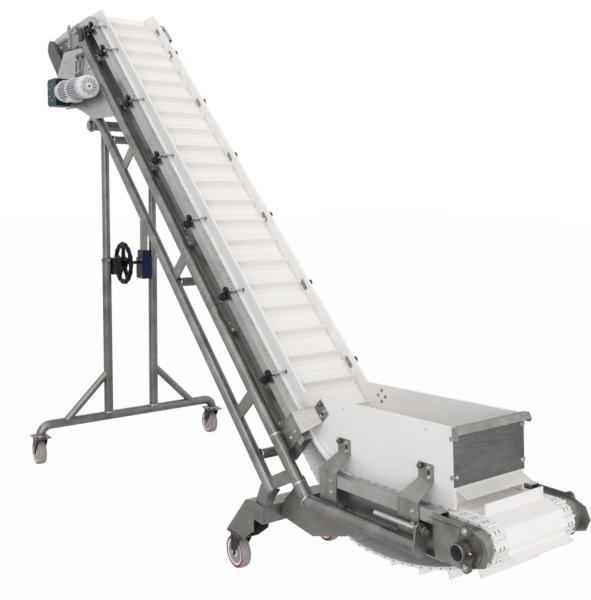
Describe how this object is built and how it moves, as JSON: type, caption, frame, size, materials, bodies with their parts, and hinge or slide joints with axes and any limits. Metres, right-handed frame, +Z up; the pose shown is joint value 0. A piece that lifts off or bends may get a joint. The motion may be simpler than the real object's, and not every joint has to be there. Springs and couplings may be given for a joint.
{
  "type": "mobile belt conveyor",
  "caption": "Mobile inclined belt conveyor with flights: low hopper infeed, steep incline, near-level discharge head, height-adjustable mast on swivel casters.",
  "frame": {"origin": "on the floor under the middle of the bounding box", "axes": "+X from the discharge head to the infeed tail, +Y to the side away from the drive, +Z up"},
  "size_m": [3.8831, 1.25, 2.6857],
  "materials": {
    "stainless": "brushed",
    "channel_steel": "brushed, darker in the web",
    "shaft_steel": "ground",
    "belt_plastic": "satin",
    "wear_plastic": "satin",
    "wall_plastic": "satin",
    "reducer_paint": "semi-gloss",
    "motor_paint": "satin",
    "gearbox_paint": "semi-gloss",
    "handwheel_plastic": "gloss",
    "caster_steel": "zinc plated",
    "hub_plastic": "satin",
    "tyre_rubber": "worn grey tread"
  },
  "bodies": {
    "conveyor": {"upper_pipes": "stainless", "lower_pipes": "stainless", "truss_ties": "stainless", "side_channel_near": "channel_steel", "side_channel_far": "channel_steel", "cross_ties": "stainless", "truss_cross_tubes": "stainless", "belt": "belt_plastic", "tail_shaft": "shaft_steel", "head_shaft": "shaft_steel", "wear_strips": "wear_plastic", "return_rails": "wear_plastic", "guard_wall_near": "wall_plastic", "guard_wall_far": "wall_plastic", "hopper_wall_near": "wall_plastic", "hopper_wall_far": "wall_plastic", "hopper_end_plate": "stainless", "hopper_flap": "stainless", "hopper_straps": "stainless", "guard_clamps": "stainless", "tail_plates": "stainless", "head_plates": "stainless", "tail_bearings": "stainless", "head_bearings": "stainless", "takeups": "stainless", "belly_pan": "stainless", "axle_beam": "stainless", "caster_arms": "stainless", "head_arms": "stainless", "drive_plate": "stainless", "chain_guard": "stainless", "gear_reducer": "reducer_paint", "drive_motor": "motor_paint", "mast_hangers": "stainless", "caster_plates_front": "caster_steel"},
    "mast_upper": {"mast_upper": "stainless"},
    "mast_lower": {"base_tube": "stainless", "mast_posts": "stainless", "mast_braces": "stainless", "lift_block": "stainless", "lift_gearbox": "gearbox_paint", "screw_guard": "stainless", "lift_shaft": "shaft_steel", "handwheel": "handwheel_plastic", "caster_plates_rear": "caster_steel"},
    "fork_front_near": {"fork_front_near": "caster_steel"},
    "wheel_front_near": {"hub_front_near": "hub_plastic", "tyre_front_near": "tyre_rubber"},
    "fork_front_far": {"fork_front_far": "caster_steel"},
    "wheel_front_far": {"hub_front_far": "hub_plastic", "tyre_front_far": "tyre_rubber"},
    "fork_rear_near": {"fork_rear_near": "caster_steel"},
    "wheel_rear_near": {"hub_rear_near": "hub_plastic", "tyre_rear_near": "tyre_rubber"},
    "fork_rear_far": {"fork_rear_far": "caster_steel"},
    "wheel_rear_far": {"hub_rear_far": "hub_plastic", "tyre_rear_far": "tyre_rubber"}
  },
  "joints": [
    {"name": "mast_swing", "type": "hinge", "parent": "conveyor", "child": "mast_upper", "pos_m": [-1.22206, 0, 2.01505], "axis": [0, 1, 0], "range_deg": [-8, 8]},
    {"name": "mast_slide", "type": "slide", "parent": "mast_upper", "child": "mast_lower", "axis": [0, 0, -1], "range_m": [-0.1, 0.3]},
    {"name": "swivel_front_near", "type": "hinge", "parent": "conveyor", "child": "fork_front_near", "pos_m": [0.54701, -0.2486, 0.16], "axis": [0, 0, 1], "continuous": true},
    {"name": "roll_front_near", "type": "hinge", "parent": "fork_front_near", "child": "wheel_front_near", "pos_m": [0.51701, -0.2486, 0.075], "axis": [0, 1, 0], "continuous": true},
    {"name": "swivel_front_far", "type": "hinge", "parent": "conveyor", "child": "fork_front_far", "pos_m": [0.54701, 0.2486, 0.16], "axis": [0, 0, 1], "continuous": true},
    {"name": "roll_front_far", "type": "hinge", "parent": "fork_front_far", "child": "wheel_front_far", "pos_m": [0.51701, 0.2486, 0.075], "axis": [0, 1, 0], "continuous": true},
    {"name": "swivel_rear_near", "type": "hinge", "parent": "mast_lower", "child": "fork_rear_near", "pos_m": [-1.22206, -0.58, 0.16], "axis": [0, 0, 1], "continuous": true},
    {"name": "roll_rear_near", "type": "hinge", "parent": "fork_rear_near", "child": "wheel_rear_near", "pos_m": [-1.25206, -0.58, 0.075], "axis": [0, 1, 0], "continuous": true},
    {"name": "swivel_rear_far", "type": "hinge", "parent": "mast_lower", "child": "fork_rear_far", "pos_m": [-1.22206, 0.58, 0.16], "axis": [0, 0, 1], "continuous": true},
    {"name": "roll_rear_far", "type": "hinge", "parent": "fork_rear_far", "child": "wheel_rear_far", "pos_m": [-1.25206, 0.58, 0.075], "axis": [0, 1, 0], "continuous": true}
  ]
}
